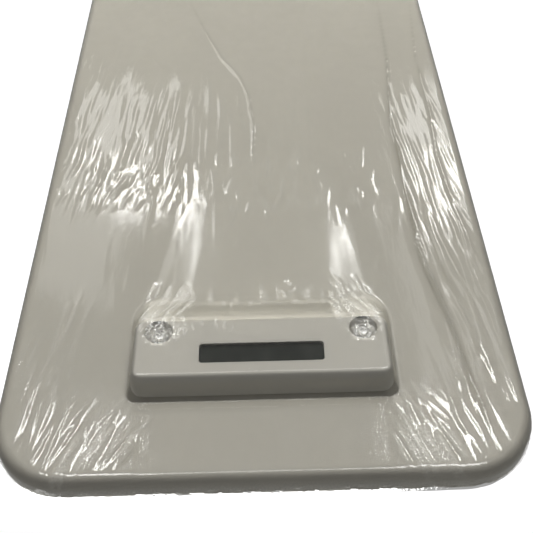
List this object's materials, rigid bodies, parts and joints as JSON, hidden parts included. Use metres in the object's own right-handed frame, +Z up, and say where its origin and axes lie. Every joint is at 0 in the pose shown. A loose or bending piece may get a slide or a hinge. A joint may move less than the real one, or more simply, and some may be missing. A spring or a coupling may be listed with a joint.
{
  "type": "shop security gate",
  "caption": "Slim free-standing anti-theft aerial panel for a shop entrance, with a light and buzzer alarm unit, a lift-up plinth cover and clear protective film.",
  "frame": {"origin": "on the floor, at the middle of the plinth", "axes": "+Z up along the panel, X across the panel, -Y out of the face that carries the alarm unit"},
  "size_m": [0.392, 0.164, 1.5608],
  "materials": {
    "panel_plastic": "warm light grey moulded plastic, fine spark-eroded grain, satin",
    "alarm_plastic": "warm light grey moulded plastic, slightly smoother than the panel",
    "lens_tint": "dark smoke-tinted polycarbonate, glossy",
    "clear_film": "clear protective stretch film, creased and glossy",
    "plinth_plastic": "warm light grey moulded plastic, coarse grain",
    "zinc_steel": "zinc-plated steel",
    "galvanised": "galvanised steel, satin",
    "black_rubber": "black rubber",
    "foam": "dark closed-cell foam",
    "white_plastic": "natural white nylon",
    "copper_wire": "red PVC-insulated coil wire",
    "lead_jacket": "black PVC lead jacket",
    "circuit_board": "green solder-masked circuit board",
    "black_plastic": "black moulded plastic",
    "terminal_green": "green terminal plastic",
    "led_red": "red diffused LED epoxy",
    "brass_insert": "knurled brass",
    "ferrite": "wound toroid in red enamelled wire",
    "capacitor_sleeve": "dark blue sleeve",
    "heat_sink_metal": "black anodised aluminium",
    "glass_fuse": "clear glass with plated caps",
    "knob_plastic": "ivory moulded plastic",
    "button_red": "red moulded plastic"
  },
  "bodies": {
    "gate": {"front_shell": "panel_plastic", "rear_shell": "panel_plastic", "shell_screws": "zinc_steel", "base_plate": "galvanised", "cable_grommet": "black_rubber", "post_left": "galvanised", "post_right": "galvanised", "post_bolts": "zinc_steel", "stiffener_left": "white_plastic", "stiffener_right": "white_plastic", "foam_pads": "foam", "transmit_coil": "copper_wire", "receive_coil": "copper_wire", "coil_clips": "white_plastic", "tuning_board": "circuit_board", "tuning_parts": "black_plastic", "alarm_lead": "lead_jacket", "aerial_lead": "lead_jacket", "lead_grommets": "black_rubber", "alarm_cover": "alarm_plastic", "lens_gasket": "black_rubber", "alarm_lens": "lens_tint", "alarm_backplate": "black_plastic", "led_board": "circuit_board", "alarm_leds": "led_red", "buzzer": "black_plastic", "lead_plug": "white_plastic", "alarm_screws": "zinc_steel", "alarm_washers": "zinc_steel", "threaded_inserts": "brass_insert", "board_brackets": "galvanised", "bracket_screws": "zinc_steel", "main_board": "circuit_board", "board_standoffs": "brass_insert", "board_screws": "zinc_steel", "supply_terminal": "terminal_green", "link_terminal": "terminal_green", "lead_connectors": "white_plastic", "filter_coils": "ferrite", "capacitors": "capacitor_sleeve", "heat_sink": "heat_sink_metal", "processor_chips": "black_plastic", "fuse_holder": "black_plastic", "fuse": "glass_fuse", "status_leds": "led_red", "switch_housing": "black_plastic", "trimmer_bodies": "black_plastic", "button_housing": "black_plastic", "protective_film": "clear_film"},
    "plinth_cover": {"plinth_front": "plinth_plastic", "plinth_rear": "plinth_plastic", "plinth_screws": "zinc_steel"},
    "power_rocker": {"power_rocker": "button_red"},
    "sensitivity_knob": {"sensitivity_knob": "knob_plastic"},
    "volume_knob": {"volume_knob": "knob_plastic"},
    "alarm_time_knob": {"alarm_time_knob": "knob_plastic"},
    "reset_button": {"reset_button": "button_red"}
  },
  "joints": [
    {"name": "plinth_lift", "type": "slide", "parent": "gate", "child": "plinth_cover", "axis": [0, 0, 1], "range_m": [0, 0.09]},
    {"name": "power_rocker_tilt", "type": "hinge", "parent": "gate", "child": "power_rocker", "pos_m": [0.084, -0.058, 0.06], "axis": [-1, 0, 0], "range_deg": [0, 18]},
    {"name": "sensitivity_knob_turn", "type": "hinge", "parent": "gate", "child": "sensitivity_knob", "pos_m": [-0.014, -0.0597, 0.026], "axis": [0, -1, 0], "range_deg": [-135, 135]},
    {"name": "volume_knob_turn", "type": "hinge", "parent": "gate", "child": "volume_knob", "pos_m": [0.004, -0.0597, 0.026], "axis": [0, -1, 0], "range_deg": [-135, 135]},
    {"name": "alarm_time_knob_turn", "type": "hinge", "parent": "gate", "child": "alarm_time_knob", "pos_m": [0.022, -0.0597, 0.026], "axis": [0, -1, 0], "range_deg": [-135, 135]},
    {"name": "reset_button_press", "type": "slide", "parent": "gate", "child": "reset_button", "axis": [0, 1, 0], "range_m": [0, 0.0008], "stiffness_N_per_m": 800, "springref_m": -0.0008}
  ]
}
